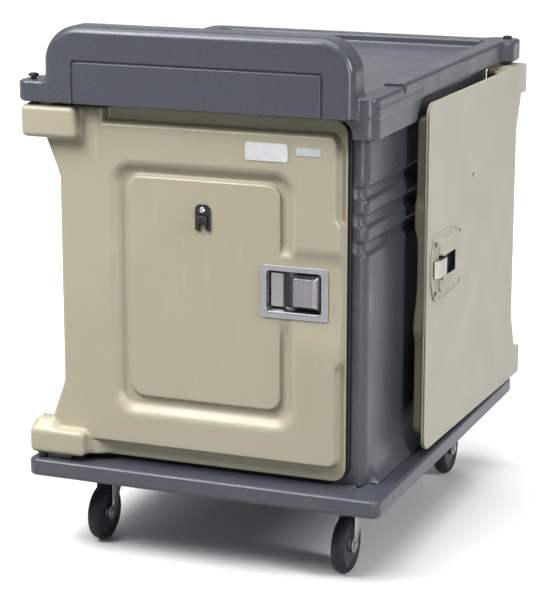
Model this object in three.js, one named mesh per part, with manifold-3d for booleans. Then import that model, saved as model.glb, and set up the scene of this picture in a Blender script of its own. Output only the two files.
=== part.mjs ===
// Insulated meal cart on casters: a foam-filled moulded body with a compartment at each end, each shut
// by its own insulated door. X runs across the front, Y from the front end to the rear end, Z up.
// Millimetres; the origin is on the floor under the middle of the base.
//
// The rear end is the front end turned half a turn about Z, so every end piece is modelled once, at
// the front and shut, and placed twice.

import * as THREE from 'three';
import { mergeVertices } from 'three/addons/utils/BufferGeometryUtils.js';
import Module from 'manifold-3d';

const wasm = await Module();
wasm.setup();

// ---------------------------------------------------------------- driving dimensions

const gap = 0.3; // between pieces that touch
const play = 0.4; // between pieces that slide past each other

const base = { halfX: 411, halfY: 522, bottom: 178, top: 218, corner: 22, edge: 8 };
const body = { halfX: 352, halfY: 443, top: 1014.7, corner: 24, wall: 10 };
const foot = { reach: 24, top: 292, front: -419, back: 365, root: 20, curveOut: 3, curveUp: 12 };
const groove = { heights: [736, 794, 852], half: 14, depth: 6, fromX: 324 };
const bay = { halfX: 266, bottom: 263, top: 977, back: -48, wall: 4 };
const ledge = { count: 10, first: 275, pitch: 70, reach: 26, root: 15, tip: 6, front: -425, back: -60 };
const rim = {
  halfX: 389, halfY: 500, bottom: 1015, top: 1067, corner: 30, edge: 8,
  innerX: 341, innerFront: -440, innerBack: 455, floor: 1045, innerCorner: 20,
};
const handle = { halfX: 348, front: -522, back: -442, top: 1180, corner: 80, edge: 18 };
const handlePanel = { halfX: 280, top: 1106, groove: 5, depth: 4 };
const lug = { innerX: 330, innerY: 430, corner: 20 };
const skirt = { innerX: 338, bottom: 972, sweep: 36, endLow: -226, endHigh: -190, overlap: 60, clear: 0.8 };
const rimSlot = { front: -315, width: 3, depth: 8 };

const pin = {
  x: -382, y: -497, radius: 6, bore: 6.4, head: 11, headHeight: 6, collar: 9,
  upperLow: 955, lowerLow: 191, lowerHigh: 290,
};
const bush = { outer: 8, bore: 6.3, flange: 13, flangeHeight: 2.5, seat: 8.3, upperLow: 949, lowerHigh: 299 };
const openAngle = THREE.MathUtils.degToRad(271.5);

const door = {
  back: -453, skin: 3, flange: -462, face: -486, panel: -478, channel: -468, pocket: -464,
  hingeX: -331, freeX: 315, bottom: 231, top: 1008, corner: 30, edge: 8,
};
const doorFoamRoom = { left: -320, right: 280, bottom: 288, top: 961 };
const frame = { freeX: 298, bulgeX: 309, bulgeLow: 483, bulgeHigh: 801, bottom: 268, top: 973, corner: 13 };
const knuckle = {
  outerX: -407, plateX: -404, innerX: -277, front: -518, lowTop: 305, highBottom: 938, corner: 10,
};
const gusset = { x: -364, low: 395, high: 855 };
const channel = {
  outerX: 207, outerLow: 341, outerHigh: 890, outerCorner: 40,
  innerX: 174, innerLow: 377, innerHigh: 864, innerCorner: 30,
};
const latchSeat = { fromX: 165, toX: 215, low: 576, high: 713, rampLow: 531, rampHigh: 732 };
const latchRecess = { fromX: 180, lowSlope: 5.6, highSlope: 2.4 };

const pan = { left: 142, right: 267, bottom: 596, top: 685, back: -460, wall: 1.5, front: -481 };
const panLip = { left: 130, right: 282, bottom: 582, top: 696, corner: 5 };
const wellFloor = { right: 178, front: -468 };
const paddle = { left: 191.5, right: 260, bottom: 603, top: 678, front: -480, back: -467, edge: 4 };
const latchPlate = {
  back: -452.7, front: -451, middle: 638, low: 563, high: 713,
  left: 87, leftHalf: 26, innerLeft: 133, innerRight: 270, right: 294, rightHalf: 33,
};
const plateau = { left: 100, right: 246, half: 58, front: -445.5, corner: 16 };
const plateNut = { left: 112, right: 272, half: 55, radius: 5.6, front: -443.5 };
const boltBox = { left: 156, right: 246, half: 29, front: -437, slotLeft: 164, slotRight: 260 };
const bolt = { left: 222, tip: 280, half: 20, back: -449, front: -438, bevel: 11, nose: 3 };
const strike = { left: 268, right: 290, half: 47, foot: 15, back: -450.6, thickness: 1.2 };
const strikePocket = { left: 262, right: 284, half: 24, floor: -434 };
const gasket = { outerX: 321, innerX: 299, bottom: 238, top: 1001, width: 22, front: -452.4, corner: 18 };

const clip = { halfX: 17, bottom: 757, top: 813, corner: 12, legX: 7, legTop: 770, front: -483 };
const clipLever = { halfX: 12, bottom: 763, top: 789.5, front: -490, ridge: 4 };
const clipScrew = { radius: 7, z: 801.5, front: -486.5 };
const label = { left: 99, right: 194, bottom: 916, top: 954, thickness: 1.3 };
const dataPlate = { left: 212, right: 267, bottom: 932, top: 949, thickness: 1 };

const wheel = { radius: 63.5, half: 15, rim: 49, shoulder: 7, hubHalf: 16.5, hubWeb: 12, bore: 6.3 };
const caster = {
  x: 291, pivotY: -352, trail: 30, rearY: 354, padBottom: 165, padHalfX: 60, padHalfY: 66,
  plateBottom: 160, plateHalfX: 46, plateHalfY: 54,
};
const fork = {
  legIn: 18, legOut: 21, legRadius: 17, topHalf: 26, crown: 131, crownTop: 135, race: 26, raceTop: 149.6,
};
const axle = { radius: 6, head: 9, reach: 25 };

// ---------------------------------------------------------------- making solids

// A closed three.js geometry as a solid that can be joined and cut.
function solid(geometry) {
  const bare = geometry.clone();
  bare.deleteAttribute('normal');
  bare.deleteAttribute('uv');
  const merged = mergeVertices(bare, 1e-4);
  const index = merged.index.array;
  const triangles = [];
  for (let i = 0; i < index.length; i += 3) {
    const [a, b, c] = [index[i], index[i + 1], index[i + 2]];
    if (a !== b && b !== c && c !== a) triangles.push(a, b, c);
  }
  return new wasm.Manifold(new wasm.Mesh({
    numProp: 3,
    vertProperties: new Float32Array(merged.attributes.position.array),
    triVerts: new Uint32Array(triangles),
  }));
}

function geometryOf(shapeSolid) {
  const result = shapeSolid.getMesh();
  const geometry = new THREE.BufferGeometry();
  geometry.setAttribute('position', new THREE.BufferAttribute(new Float32Array(result.vertProperties), 3));
  geometry.setIndex(Array.from(result.triVerts));
  return geometry;
}

function union(...solids) {
  return solids.reduce((whole, next) => whole.add(next));
}

// The same solid at the other end of the cart.
function halfTurn(shapeSolid) {
  return solid(geometryOf(shapeSolid).rotateZ(Math.PI));
}

// Where a drawn shape's own x, y and depth go when it is pushed along each axis.
const bases = {
  x: [new THREE.Vector3(0, 1, 0), new THREE.Vector3(0, 0, 1), new THREE.Vector3(1, 0, 0)],
  y: [new THREE.Vector3(1, 0, 0), new THREE.Vector3(0, 0, 1), new THREE.Vector3(0, -1, 0)],
  z: [new THREE.Vector3(1, 0, 0), new THREE.Vector3(0, 1, 0), new THREE.Vector3(0, 0, 1)],
};

// Extrude a shape between two stations of an axis. An edge rounds both ends inside that length.
function push(shape, axis, from, to, { edge = 0, steps = 1, curve = 3 } = {}) {
  const geometry = new THREE.ExtrudeGeometry(shape, {
    depth: to - from - 2 * edge,
    curveSegments: curve,
    bevelEnabled: edge > 0,
    bevelThickness: edge,
    bevelSize: edge,
    bevelOffset: -edge,
    bevelSegments: steps,
  });
  geometry.translate(0, 0, edge);
  geometry.applyMatrix4(new THREE.Matrix4().makeBasis(...bases[axis]));
  const start = axis === 'y' ? to : from;
  geometry.translate(...['x', 'y', 'z'].map((name) => (name === axis ? start : 0)));
  return solid(geometry);
}

function rect(left, low, right, high, corner = 0) {
  const shape = new THREE.Shape();
  if (corner === 0) {
    shape.moveTo(left, low);
    shape.lineTo(right, low);
    shape.lineTo(right, high);
    shape.lineTo(left, high);
    return shape;
  }
  const quarter = Math.PI / 2;
  shape.moveTo(left + corner, low);
  shape.absarc(right - corner, low + corner, corner, -quarter, 0);
  shape.absarc(right - corner, high - corner, corner, 0, quarter);
  shape.absarc(left + corner, high - corner, corner, quarter, 2 * quarter);
  shape.absarc(left + corner, low + corner, corner, 2 * quarter, 3 * quarter);
  return shape;
}

function polygon(...points) {
  return new THREE.Shape(points.map(([x, y]) => new THREE.Vector2(x, y)));
}

function box(x0, y0, z0, x1, y1, z1) {
  const geometry = new THREE.BoxGeometry(x1 - x0, y1 - y0, z1 - z0);
  geometry.translate((x0 + x1) / 2, (y0 + y1) / 2, (z0 + z1) / 2);
  return solid(geometry);
}

// A turned part about a vertical axis: the profile is [radius, height] from the axis and back to it.
function turned(profile, x, y, segments = 14) {
  const geometry = new THREE.LatheGeometry(profile.map(([r, h]) => new THREE.Vector2(r, h)), segments);
  geometry.rotateX(Math.PI / 2);
  geometry.translate(x, y, 0);
  return solid(geometry);
}

// The same about an axis that runs along X, with the profile's height along X.
function turnedAlongX(profile, y, z, segments) {
  const geometry = new THREE.LatheGeometry(profile.map(([r, h]) => new THREE.Vector2(r, h)), segments);
  geometry.rotateZ(-Math.PI / 2);
  geometry.translate(0, y, z);
  return solid(geometry);
}

function rod(radius, low, high, x, y, segments = 14) {
  return turned([[0, low], [radius, low], [radius, high], [0, high]], x, y, segments);
}

// ---------------------------------------------------------------- materials

const material = (color, roughness, metalness = 0) =>
  new THREE.MeshStandardMaterial({ color, roughness, metalness });

const slate = material(0x565d69, 0.55);
const cream = material(0xb9b19b, 0.5);
const creamSkin = material(0xc9c4b4, 0.5);
const foam = material(0xe6dcb4, 0.9);
const stainless = material(0xb4b5b8, 0.28, 1);
const zinc = material(0x9da09c, 0.45, 1);
const blackPlastic = material(0x17181b, 0.45);
const rubber = material(0x26272a, 0.85);
const hubGrey = material(0x3c3d42, 0.6);
const labelWhite = material(0xe9e9e6, 0.4);

// ---------------------------------------------------------------- base, body and top

function baseSlab() {
  const slab = push(rect(-base.halfX, -base.halfY, base.halfX, base.halfY, base.corner), 'z',
    base.bottom, base.top, { edge: base.edge, steps: 2 });
  const { padHalfX, padHalfY } = caster;
  const pads = [];
  for (const x of [-caster.x, caster.x]) {
    for (const y of [caster.pivotY, caster.rearY]) {
      pads.push(box(x - padHalfX, y - padHalfY, caster.padBottom, x + padHalfX, y + padHalfY,
        base.bottom + 2));
    }
  }
  const socket = rod(pin.bore, pin.lowerLow - 1, base.top + 1, pin.x, pin.y);
  return union(slab, ...pads).subtract(socket).subtract(halfTurn(socket));
}

// A ring that cuts one groove into the sides and round the four corners.
function grooveCutter(z) {
  const inset = groove.depth;
  const kept = push(rect(inset - body.halfX, inset - body.halfY, body.halfX - inset, body.halfY - inset,
    body.corner - inset), 'z', z - groove.half - 1, z + groove.half + 1);
  const reach = body.halfX + 20;
  const side = box(groove.fromX, -reach * 2, z - groove.half, reach, reach * 2, z + groove.half);
  return union(side.subtract(kept), halfTurn(side).subtract(kept));
}

function bodyShell() {
  const bottom = base.top + gap;
  let shell = push(rect(-body.halfX, -body.halfY, body.halfX, body.halfY, body.corner), 'z',
    bottom, body.top);

  // The sides spread into a foot, which stops short of the folded door's lower knuckle.
  const profile = new THREE.Shape();
  profile.moveTo(body.halfX - foot.root, bottom);
  profile.lineTo(body.halfX + foot.reach, bottom);
  profile.quadraticCurveTo(body.halfX + foot.curveOut, bottom + foot.curveUp, body.halfX, foot.top);
  profile.lineTo(body.halfX - foot.root, foot.top);
  const spread = push(profile, 'y', foot.front, foot.back);
  shell = union(shell, spread, halfTurn(spread));

  for (const z of groove.heights) shell = shell.subtract(grooveCutter(z));

  const inX = body.halfX - body.wall;
  const inY = body.halfY - body.wall;
  shell = shell.subtract(box(-inX, -inY, bottom + body.wall, inX, inY, body.top - body.wall));
  const mouth = bay.wall + gap;
  shell = shell.subtract(box(-bay.halfX - mouth, -body.halfY - 1, bay.bottom - mouth,
    bay.halfX + mouth, body.halfY + 1, bay.top + mouth));
  const pocket = latchPocket();
  return shell.subtract(pocket).subtract(halfTurn(pocket));
}

// Room behind the strike plate for the bolt.
function latchPocket() {
  return box(strikePocket.left, -body.halfY - 3, latchPlate.middle - strikePocket.half,
    strikePocket.right, strikePocket.floor, latchPlate.middle + strikePocket.half);
}

function insulationCore() {
  const inX = body.halfX - body.wall - gap;
  const inY = body.halfY - body.wall - gap;
  const block = push(rect(-inX, -inY, inX, inY, body.corner - 4), 'z',
    base.top + body.wall + 2 * gap, body.top - body.wall - gap);
  const clear = bay.wall + gap;
  const room = box(-bay.halfX - clear, -body.halfY, bay.bottom - clear,
    bay.halfX + clear, bay.back + clear, bay.top + clear);
  return block.subtract(room).subtract(halfTurn(room));
}

// One compartment, open at the front, with a pair of moulded ledges for each tray.
function liner() {
  const t = bay.wall;
  let shell = box(-bay.halfX - t, -body.halfY, bay.bottom - t, bay.halfX + t, bay.back + t, bay.top + t);
  shell = shell.subtract(box(-bay.halfX, -body.halfY - 1, bay.bottom, bay.halfX, bay.back, bay.top));
  for (let i = 0; i < ledge.count; i += 1) {
    const z = ledge.first + i * ledge.pitch;
    const rail = push(polygon(
      [bay.halfX + 1, z - ledge.root],
      [bay.halfX + 1, z],
      [bay.halfX - ledge.reach, z],
      [bay.halfX - ledge.reach, z - ledge.tip],
    ), 'y', ledge.front, ledge.back);
    const mirrored = push(polygon(
      [-bay.halfX - 1, z],
      [-bay.halfX - 1, z - ledge.root],
      [ledge.reach - bay.halfX, z - ledge.tip],
      [ledge.reach - bay.halfX, z],
    ), 'y', ledge.front, ledge.back);
    shell = union(shell, rail, mirrored);
  }
  return shell.subtract(latchPocket());
}

// The deep corner beside the free edge of the shut door. It wraps the body's corner.
function cornerSkirt() {
  const left = skirt.innerX - skirt.overlap;
  let block = push(rect(left, -rim.halfY, rim.halfX, skirt.endHigh, rim.corner), 'z',
    skirt.bottom, rim.bottom + 5);
  const wrapX = body.halfX + skirt.clear;
  const wrapY = body.halfY + skirt.clear;
  block = block.subtract(push(rect(0, -wrapY, wrapX, 0, body.corner), 'z',
    skirt.bottom - 1, rim.bottom + 6));

  const sweep = new THREE.Shape();
  sweep.moveTo(left - 1, skirt.bottom - 1);
  sweep.lineTo(skirt.innerX, skirt.bottom - 1);
  sweep.absarc(skirt.innerX - skirt.sweep, rim.bottom - skirt.sweep, skirt.sweep, 0, Math.PI / 2);
  sweep.lineTo(left - 1, rim.bottom);
  block = block.subtract(push(sweep, 'y', -rim.halfY - 1, -body.halfY + 1, { curve: 6 }));

  const lean = polygon([skirt.endLow, skirt.bottom - 1], [0, skirt.bottom - 1], [0, rim.bottom + 6],
    [skirt.endHigh, rim.bottom + 6]);
  return block.subtract(push(lean, 'x', left, rim.halfX + 1));
}

// The raised bar across the front, with a groove round its panel.
function pushHandle() {
  const low = rim.bottom - 2 * handle.edge;
  const outline = new THREE.Shape();
  const quarter = Math.PI / 2;
  outline.moveTo(-handle.halfX, low);
  outline.lineTo(handle.halfX, low);
  outline.absarc(handle.halfX - handle.corner, handle.top - handle.corner, handle.corner, 0, quarter);
  outline.absarc(handle.corner - handle.halfX, handle.top - handle.corner, handle.corner, quarter,
    2 * quarter);
  const bar = push(outline, 'y', handle.front, handle.back, { edge: handle.edge, steps: 3, curve: 5 });
  const under = box(-handle.halfX - 1, handle.front - 1, low - 1, handle.halfX + 1, handle.back + 1,
    rim.bottom);

  const half = handlePanel.groove / 2;
  const outer = rect(-handlePanel.halfX - half, low, handlePanel.halfX + half, handlePanel.top + half);
  const inner = rect(half - handlePanel.halfX, low - 1, handlePanel.halfX - half,
    handlePanel.top - half);
  const front = handle.front - 1;
  const floor = handle.front + handlePanel.depth;
  const line = push(outer, 'y', front, floor).subtract(push(inner, 'y', front - 1, floor + 1));
  return bar.subtract(under).subtract(line);
}

function topCover() {
  const plate = push(rect(-rim.halfX, -rim.halfY, rim.halfX, rim.halfY, rim.corner), 'z',
    rim.bottom, rim.top, { edge: rim.edge, steps: 2 });
  const ear = push(rect(-base.halfX, -base.halfY, -lug.innerX, -lug.innerY, lug.corner), 'z',
    rim.bottom, rim.top, { edge: rim.edge, steps: 2 });
  const corner = cornerSkirt();
  let cover = union(plate, ear, halfTurn(ear), corner, halfTurn(corner));
  cover = cover.subtract(push(rect(-rim.innerX, rim.innerFront, rim.innerX, rim.innerBack,
    rim.innerCorner), 'z', rim.floor, rim.top + 1));
  cover = union(cover, pushHandle());

  for (const x of [-rim.halfX - 1, rim.innerX - 1]) {
    cover = cover.subtract(box(x, rimSlot.front, rim.top - rimSlot.depth,
      x + rim.halfX - rim.innerX + 2, rimSlot.front + rimSlot.width, rim.top + 1));
  }
  const bore = rod(pin.bore, rim.bottom - 1, rim.top + 1, pin.x, pin.y);
  return cover.subtract(bore).subtract(halfTurn(bore));
}

// ---------------------------------------------------------------- fixed pieces at one end

function doorGasket() {
  const side = gasket.outerX;
  const outer = push(rect(-side, gasket.bottom, side, gasket.top, gasket.corner), 'y',
    gasket.front, -body.halfY - gap);
  const inner = push(rect(-gasket.innerX, gasket.bottom + gasket.width, gasket.innerX,
    gasket.top - gasket.width, gasket.corner / 2), 'y', gasket.front - 1, -body.halfY + 1);
  return outer.subtract(inner);
}

// A bridge that stands off the body so that the bolt can pass behind it.
function strikePlate() {
  const low = latchPlate.middle - strike.half;
  const high = latchPlate.middle + strike.half;
  const behind = -body.halfY - gap;
  const under = strike.back + strike.thickness;
  const whole = box(strike.left, strike.back, low, strike.right, behind, high);
  return whole.subtract(box(strike.left - 1, under, low + strike.foot, strike.right + 1, behind + 1,
    high - strike.foot));
}

function upperPin() {
  const seat = rim.top + gap;
  const low = pin.upperLow;
  const top = seat + pin.headHeight;
  return turned([[0, low], [pin.radius, low], [pin.radius, seat], [pin.head, seat],
    [pin.head, seat + pin.headHeight / 2], [pin.head - 3, top], [0, top]], pin.x, pin.y);
}

function lowerPin() {
  const seat = base.top + gap;
  const low = pin.lowerLow;
  const high = pin.lowerHigh;
  const collar = pin.head - 1;
  return turned([[0, low], [pin.radius, low], [pin.radius, seat], [collar, seat],
    [collar, seat + pin.collar], [pin.radius, seat + pin.collar], [pin.radius, high], [0, high]],
    pin.x, pin.y);
}

// ---------------------------------------------------------------- door, drawn shut at the front

// The door's outline, with the plates that reach out to the knuckles. The inset draws it smaller.
function doorOutline(inset = 0) {
  const quarter = Math.PI / 2;
  const r = door.corner;
  const left = knuckle.plateX + inset;
  const low = door.bottom + inset;
  const high = door.top - inset;
  const free = door.freeX - inset;
  const shape = new THREE.Shape();
  shape.moveTo(door.hingeX + inset, gusset.low);
  shape.lineTo(gusset.x + inset, knuckle.lowTop);
  shape.lineTo(left, knuckle.lowTop);
  shape.lineTo(left, low);
  shape.absarc(free - r, low + r, r, -quarter, 0);
  shape.absarc(free - r, high - r, r, 0, quarter);
  shape.lineTo(left, high);
  shape.lineTo(left, knuckle.highBottom);
  shape.lineTo(gusset.x + inset, knuckle.highBottom);
  shape.lineTo(door.hingeX + inset, gusset.high);
  return shape;
}

// The raised frame's outline, which bulges beside the latch.
function frameOutline() {
  const quarter = Math.PI / 2;
  const r = frame.corner;
  const slope = 16;
  const shape = new THREE.Shape();
  shape.moveTo(door.hingeX, gusset.low);
  shape.lineTo(gusset.x, knuckle.lowTop);
  shape.lineTo(gusset.x, frame.bottom);
  shape.absarc(frame.freeX - r, frame.bottom + r, r, -quarter, 0);
  shape.lineTo(frame.freeX, frame.bulgeLow);
  shape.lineTo(frame.bulgeX, frame.bulgeLow + slope);
  shape.lineTo(frame.bulgeX, frame.bulgeHigh - slope);
  shape.lineTo(frame.freeX, frame.bulgeHigh);
  shape.absarc(frame.freeX - r, frame.top - r, r, 0, quarter);
  shape.lineTo(gusset.x, frame.top);
  shape.lineTo(gusset.x, knuckle.highBottom);
  shape.lineTo(door.hingeX, gusset.high);
  return shape;
}

function knuckleBlock(low, high) {
  return push(rect(knuckle.outerX, low, knuckle.innerX, high, knuckle.corner), 'y', knuckle.front,
    door.back + 10, { edge: door.edge, steps: 2 });
}

// The frame dips to the panel's level round the latch, with a sloped wall above and below.
function latchRecessCutter() {
  const reach = 14;
  const { low, high } = latchSeat;
  const dip = polygon([door.panel - reach, low - reach * latchRecess.lowSlope], [door.panel, low],
    [door.panel, high], [door.panel - reach, high + reach * latchRecess.highSlope]);
  return push(dip, 'x', latchRecess.fromX, door.freeX + 5);
}

function latchHole(clear) {
  return box(pan.left - clear, knuckle.front, pan.bottom - clear, pan.right + clear, door.back,
    pan.top + clear);
}

function doorShell() {
  const shellBack = door.back - door.skin - gap;
  const slope = door.edge;
  let shell = union(
    push(doorOutline(), 'y', door.flange, shellBack),
    push(frameOutline(), 'y', door.face, door.back + 10, { edge: slope, steps: 2 }),
    knuckleBlock(knuckle.highBottom, door.top),
    knuckleBlock(door.bottom, knuckle.lowTop),
  );

  shell = shell.subtract(push(rect(-channel.outerX, channel.outerLow, channel.outerX,
    channel.outerHigh, channel.outerCorner), 'y', door.face - 20, door.channel, { edge: slope }));
  const centre = push(rect(-channel.innerX, channel.innerLow, channel.innerX, channel.innerHigh,
    channel.innerCorner), 'y', door.panel, door.back, { edge: slope });
  const seat = push(polygon([door.back, latchSeat.rampLow], [door.back, latchSeat.rampHigh],
    [door.channel, latchSeat.rampHigh], [door.panel, latchSeat.high], [door.panel, latchSeat.low],
    [door.channel, latchSeat.rampLow]), 'x', latchSeat.fromX, latchSeat.toX);
  shell = union(shell, centre, seat).subtract(latchRecessCutter());

  const behind = box(knuckle.outerX - 1, shellBack, door.bottom - 1, door.freeX + 1, door.back + 11,
    door.top + 1);
  const pocket = foamBlock(0, shellBack + 1);
  const seatTop = rod(bush.seat, bush.upperLow - 2, door.top + 1, pin.x, pin.y);
  const seatLow = rod(bush.seat, door.bottom - 1, bush.lowerHigh + 2, pin.x, pin.y);
  return shell.subtract(behind).subtract(pocket).subtract(latchHole(gap)).subtract(seatTop)
    .subtract(seatLow);
}

function foamBlock(inset, backY) {
  const { left, right, bottom, top } = doorFoamRoom;
  return box(left + inset, door.pocket + inset, bottom + inset, right - inset, backY, top - inset);
}

function doorFoam() {
  return foamBlock(gap, door.back - door.skin - 2 * gap).subtract(latchHole(4));
}

function doorSkin() {
  return push(doorOutline(0.5), 'y', door.back - door.skin, door.back);
}

function doorBush(flangeLow, sleeveLow, sleeveHigh) {
  const flangeHigh = flangeLow + bush.flangeHeight;
  const low = Math.min(flangeLow, sleeveLow);
  const high = Math.max(flangeHigh, sleeveHigh);
  const whole = union(rod(bush.outer, low, high, pin.x, pin.y),
    rod(bush.flange, flangeLow, flangeHigh, pin.x, pin.y));
  return whole.subtract(rod(bush.bore, low - 1, high + 1, pin.x, pin.y));
}

// ---------------------------------------------------------------- latch, clip and plates

function latchPan() {
  const lip = push(rect(panLip.left, panLip.bottom, panLip.right, panLip.top, panLip.corner), 'y',
    pan.front, door.panel - play, { edge: 1 });
  const tub = box(pan.left, pan.front + 1.5, pan.bottom, pan.right, pan.back, pan.top);
  const t = pan.wall;
  const inside = box(pan.left + t, pan.front - 1, pan.bottom + t, pan.right - t, pan.back - t,
    pan.top - t);
  const step = box(pan.left + 1, wellFloor.front, pan.bottom + 1, wellFloor.right, pan.back - 1,
    pan.top - 1);
  return union(lip, tub).subtract(inside).add(step);
}

function latchPaddle() {
  return push(rect(paddle.left, paddle.bottom, paddle.right, paddle.top, 5), 'y', paddle.front,
    paddle.back, { edge: paddle.edge });
}

// Eight-sided plate on the inside of the door, its raised middle, bolt housing and four nuts.
function latchBackPlate() {
  const { low, high, middle, left, right, leftHalf, rightHalf, innerLeft, innerRight } = latchPlate;
  const sheet = push(polygon([left, middle - leftHalf], [innerLeft, low], [innerRight, low],
    [right, middle - rightHalf], [right, middle + rightHalf], [innerRight, high], [innerLeft, high],
    [left, middle + leftHalf]), 'y', latchPlate.back, latchPlate.front);
  const raised = push(rect(plateau.left, middle - plateau.half, plateau.right, middle + plateau.half,
    plateau.corner), 'y', latchPlate.back, plateau.front);
  const housing = push(rect(boltBox.left, middle - boltBox.half, boltBox.right, middle + boltBox.half),
    'y', latchPlate.back, boltBox.front);
  const slot = box(boltBox.slotLeft, bolt.back - play, middle - bolt.half - play, boltBox.slotRight,
    boltBox.front + 5, middle + bolt.half + play);
  let whole = union(sheet, raised, housing).subtract(slot);
  for (const x of [plateNut.left, plateNut.right]) {
    for (const z of [middle - plateNut.half, middle + plateNut.half]) {
      const height = plateNut.front - latchPlate.back;
      const nut = new THREE.CylinderGeometry(plateNut.radius, plateNut.radius, height, 6);
      nut.translate(x, latchPlate.back + height / 2, z);
      whole = whole.add(solid(nut));
    }
  }
  return whole;
}

// The slam bolt: its tip slopes on the side that meets the body.
function latchBolt() {
  return push(polygon([bolt.left, bolt.back], [bolt.tip, bolt.back], [bolt.tip, bolt.back + bolt.nose],
    [bolt.tip - bolt.bevel, bolt.front], [bolt.left, bolt.front]), 'z',
    latchPlate.middle - bolt.half, latchPlate.middle + bolt.half);
}

function clipBase() {
  const quarter = Math.PI / 2;
  const shape = new THREE.Shape();
  shape.moveTo(-clip.halfX, clip.bottom);
  shape.lineTo(-clip.legX, clip.bottom);
  shape.lineTo(-clip.legX, clip.legTop);
  shape.lineTo(clip.legX, clip.legTop);
  shape.lineTo(clip.legX, clip.bottom);
  shape.lineTo(clip.halfX, clip.bottom);
  shape.absarc(clip.halfX - clip.corner, clip.top - clip.corner, clip.corner, 0, quarter);
  shape.absarc(clip.corner - clip.halfX, clip.top - clip.corner, clip.corner, quarter, 2 * quarter);
  return push(shape, 'y', clip.front, door.panel - gap, { edge: 1 });
}

function clipLeverPart() {
  const back = clip.front - play;
  const leaf = push(rect(-clipLever.halfX, clipLever.bottom, clipLever.halfX, clipLever.top, 2), 'y',
    clipLever.front + 3, back, { edge: 1, curve: 2 });
  const ridge = push(rect(-clipLever.halfX + 2, clipLever.top - clipLever.ridge, clipLever.halfX - 2,
    clipLever.top, 1), 'y', clipLever.front, back - 1, { edge: 0.5, curve: 2 });
  return union(leaf, ridge);
}

function clipScrewPart() {
  const { radius, z, front } = clipScrew;
  const back = clip.front - gap;
  const dome = new THREE.LatheGeometry([[0, 0], [radius, 0], [radius * 0.85, 2], [0, back - front]]
    .map(([r, h]) => new THREE.Vector2(r, h)), 14);
  dome.rotateX(Math.PI);
  dome.translate(0, back, z);
  return solid(dome);
}

function plateOnFrame(size, corner) {
  const back = door.face - gap;
  return push(rect(size.left, size.bottom, size.right, size.top, corner), 'y',
    back - size.thickness, back);
}

// ---------------------------------------------------------------- casters, drawn about the axle

function tyre() {
  const { radius, half, rim: inner, shoulder } = wheel;
  return turnedAlongX([[inner, -half], [radius - shoulder, -half], [radius - 2, shoulder - half],
    [radius, 0], [radius - 2, half - shoulder], [radius - shoulder, half], [inner, half],
    [inner, -half]], 0, 0, 20);
}

function wheelHub() {
  const { hubHalf: boss, hubWeb: web, bore } = wheel;
  const outer = wheel.rim - gap;
  return turnedAlongX([[bore, -boss], [16, -boss], [18, -web], [outer, -web], [outer, web], [18, web],
    [16, boss], [bore, boss], [bore, -boss]], 0, 0, 20);
}

function axleBolt() {
  const { radius, head, reach } = axle;
  const seat = fork.legOut + gap;
  return turnedAlongX([[0, -reach], [head, -reach], [head, -seat], [radius, -seat], [radius, seat],
    [head, seat], [head, reach], [0, reach]], 0, 0, 12);
}

// Two legs and a crown; shift moves the crown from over the axle to the swivel axis.
function forkBracket(shift, top) {
  const quarter = Math.PI / 2;
  const halfTop = fork.topHalf;
  const crownLow = fork.crown - wheel.radius;
  const leg = new THREE.Shape();
  leg.absarc(0, 0, fork.legRadius, 2 * quarter, 4 * quarter);
  leg.lineTo(shift + halfTop, crownLow);
  leg.lineTo(shift + halfTop, top - wheel.radius);
  leg.lineTo(shift - halfTop, top - wheel.radius);
  leg.lineTo(shift - halfTop, crownLow);
  const legs = [-fork.legOut, fork.legIn].map((x) => push(leg, 'x', x, x + fork.legOut - fork.legIn));
  const crown = box(-fork.legOut, shift - halfTop, top - wheel.radius - 4, fork.legOut,
    shift + halfTop, top - wheel.radius);
  const bore = axle.radius + gap;
  const hole = turnedAlongX([[0, -axle.reach], [bore, -axle.reach], [bore, axle.reach],
    [0, axle.reach]], 0, 0, 12);
  return union(...legs, crown).subtract(hole);
}

function swivelFork() {
  const low = fork.crownTop - 1 - wheel.radius;
  const race = rod(fork.race, low, fork.raceTop - wheel.radius, 0, caster.trail);
  return union(forkBracket(caster.trail, fork.crownTop), race);
}

function casterPlate() {
  const { plateHalfX: halfX, plateHalfY: halfY } = caster;
  return push(rect(-halfX, -halfY, halfX, halfY, 8), 'z', caster.plateBottom, caster.padBottom - gap);
}

function swivelPlate() {
  const lowerRace = rod(fork.race + 2, fork.raceTop + play, caster.plateBottom + 1, 0, 0);
  return union(casterPlate(), lowerRace);
}

function fixedFork() {
  const lowered = solid(geometryOf(casterPlate()).translate(0, 0, -wheel.radius));
  return union(forkBracket(0, caster.plateBottom + 1), lowered);
}

// ---------------------------------------------------------------- assembly

const cart = new THREE.Group();

function addMesh(parent, name, part, surface) {
  const geometry = geometryOf(part).toNonIndexed();
  geometry.computeVertexNormals();
  const mesh = new THREE.Mesh(geometry, surface);
  mesh.name = name;
  parent.add(mesh);
  return mesh;
}

addMesh(cart, 'base_slab', baseSlab(), slate);
addMesh(cart, 'body_shell', bodyShell(), slate);
addMesh(cart, 'insulation_core', insulationCore(), foam);
addMesh(cart, 'top_cover', topCover(), slate);

// A group whose children are drawn in cart coordinates but turn about the hinge pins.
function hingedGroup(parent, angle) {
  const leaf = new THREE.Group();
  leaf.position.set(pin.x, pin.y, 0);
  leaf.rotation.z = -angle;
  const inner = new THREE.Group();
  inner.position.set(-pin.x, -pin.y, 0);
  leaf.add(inner);
  parent.add(leaf);
  return inner;
}

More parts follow.
